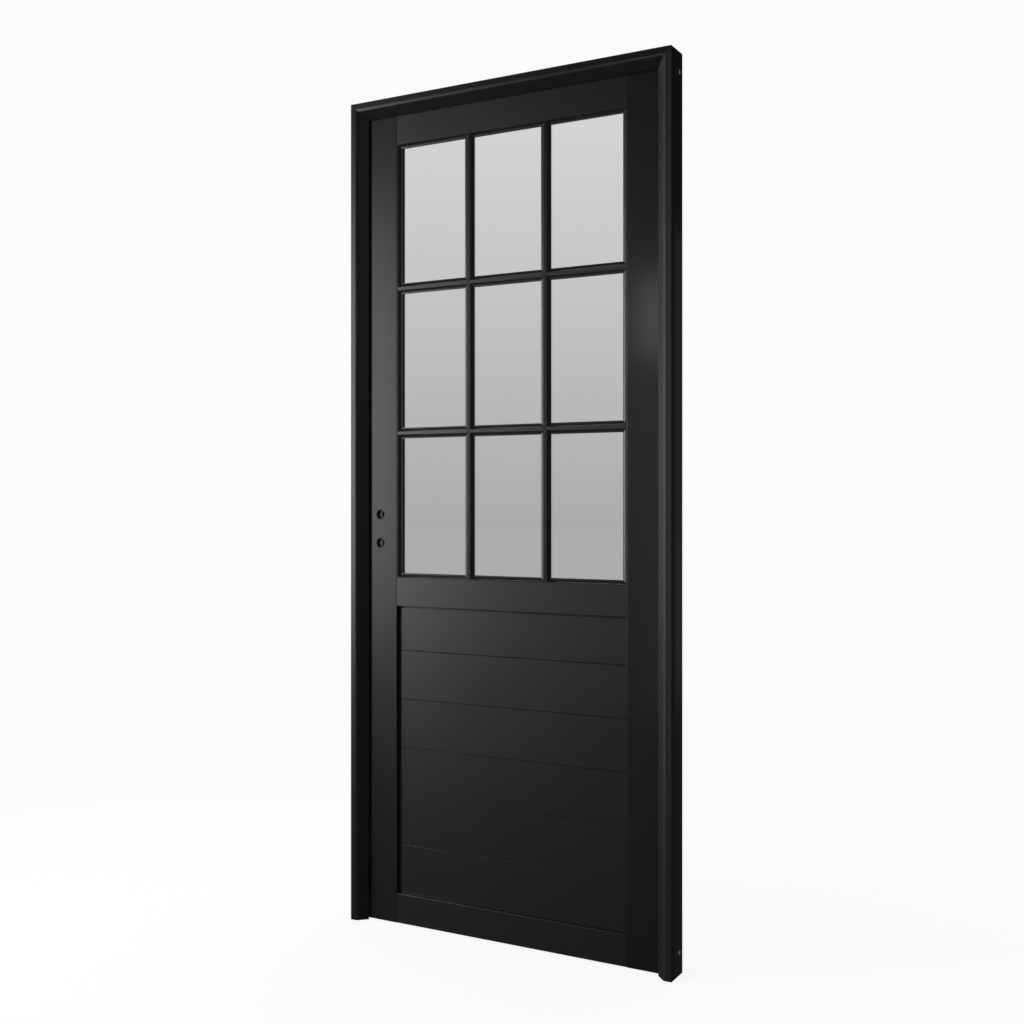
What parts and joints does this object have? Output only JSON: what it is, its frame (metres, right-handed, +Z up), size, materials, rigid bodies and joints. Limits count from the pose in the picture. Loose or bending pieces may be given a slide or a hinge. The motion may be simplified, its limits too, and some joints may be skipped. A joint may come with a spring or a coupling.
{
  "type": "glazed door set",
  "caption": "Hinged door leaf with small panes over a level-boarded panel, hung in a splayed timber frame.",
  "frame": {"origin": "foot of the hinge jamb's outer side face, at the middle of the frame's depth", "axes": "+X out of the hinge jamb's side face, +Y towards the side the leaf opens to, +Z up"},
  "size_m": [0.872, 0.0815, 2.075],
  "materials": {
    "paint": "timber under satin black paint",
    "glass": "clear float glass",
    "steel": "steel with a satin black coat",
    "zinc": "bright zinc plated steel"
  },
  "bodies": {
    "frame": {"hinge_jamb": "paint", "lock_jamb": "paint", "frame_head": "paint", "hinge_side_moulding": "paint", "lock_side_moulding": "paint", "head_moulding": "paint", "frame_screws": "zinc", "hinge_bottom_frame_plate": "steel", "hinge_bottom_pin": "steel", "hinge_middle_frame_plate": "steel", "hinge_middle_pin": "steel", "hinge_top_frame_plate": "steel", "hinge_top_pin": "steel"},
    "leaf": {"back_beads_lower": "paint", "back_beads_middle": "paint", "back_beads_upper": "paint", "bottom_rail": "paint", "cross_bar_middle_centre": "paint", "cross_bar_middle_left": "paint", "cross_bar_middle_right": "paint", "cross_bar_upper_centre": "paint", "cross_bar_upper_left": "paint", "cross_bar_upper_right": "paint", "glazing_bead": "paint", "hinge_bottom_leaf_plate": "steel", "hinge_middle_leaf_plate": "steel", "hinge_stile": "paint", "hinge_top_leaf_plate": "steel", "lock_rail": "paint", "lock_stile": "paint", "lower_panel": "paint", "pane_lower_centre": "glass", "pane_lower_left": "glass", "pane_lower_right": "glass", "pane_middle_centre": "glass", "pane_middle_left": "glass", "pane_middle_right": "glass", "pane_upper_centre": "glass", "pane_upper_left": "glass", "pane_upper_right": "glass", "top_rail": "paint", "upright_bar_left": "paint", "upright_bar_right": "paint"}
  },
  "joints": [
    {"name": "leaf_swing", "type": "hinge", "parent": "frame", "child": "leaf", "pos_m": [-0.0175, 0.041, 0], "axis": [0, 0, -1], "range_deg": [0, 180]}
  ]
}
